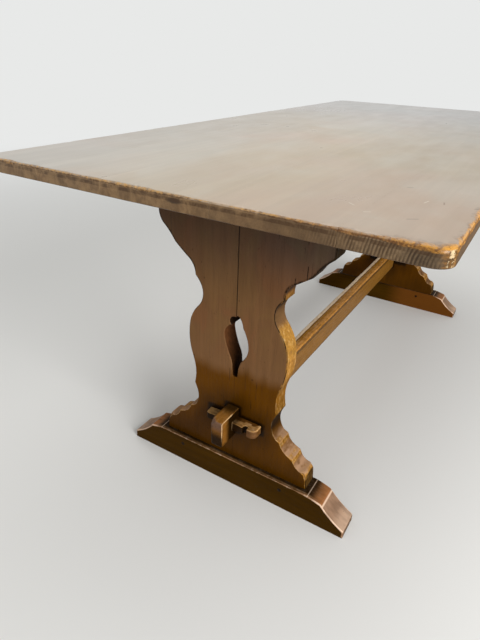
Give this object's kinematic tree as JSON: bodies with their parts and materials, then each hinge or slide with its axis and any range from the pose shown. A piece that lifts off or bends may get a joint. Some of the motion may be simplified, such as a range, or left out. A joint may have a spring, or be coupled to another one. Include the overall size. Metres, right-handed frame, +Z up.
{
  "type": "refectory table",
  "caption": "Oak refectory table: a boarded top on scalloped, pierced trestles with sledge feet, tied by a wedged stretcher.",
  "frame": {"origin": "on the floor under the middle of the top", "axes": "+X along the table from the near end to the far end, +Y across it to the left seen from the near end, +Z up"},
  "size_m": [1.738, 0.805, 0.762],
  "materials": {
    "top_oak": "worn wax, pale greige",
    "frame_oak": "dark amber stain, waxed, worn at the arrises",
    "peg_oak": "dark amber stain, waxed",
    "screw_steel": "dulled"
  },
  "bodies": {
    "table": {"top_board_1": "top_oak", "top_board_2": "top_oak", "top_board_3": "top_oak", "top_board_4": "top_oak", "top_board_5": "top_oak", "near_trestle_left_board": "frame_oak", "near_trestle_right_board": "frame_oak", "near_foot": "frame_oak", "near_bearer": "frame_oak", "far_trestle_left_board": "frame_oak", "far_trestle_right_board": "frame_oak", "far_foot": "frame_oak", "far_bearer": "frame_oak", "stretcher": "frame_oak", "near_foot_pegs": "peg_oak", "far_foot_pegs": "peg_oak", "near_top_screws": "screw_steel", "near_bearer_screws": "screw_steel", "far_top_screws": "screw_steel", "far_bearer_screws": "screw_steel"},
    "near_wedge": {"near_wedge": "peg_oak"},
    "far_wedge": {"far_wedge": "peg_oak"}
  },
  "joints": [
    {"name": "near_wedge_slide", "type": "slide", "parent": "table", "child": "near_wedge", "axis": [0, -1, 0], "range_m": [0, 0.078]},
    {"name": "far_wedge_slide", "type": "slide", "parent": "table", "child": "far_wedge", "axis": [0, 1, 0], "range_m": [0, 0.078]}
  ]
}
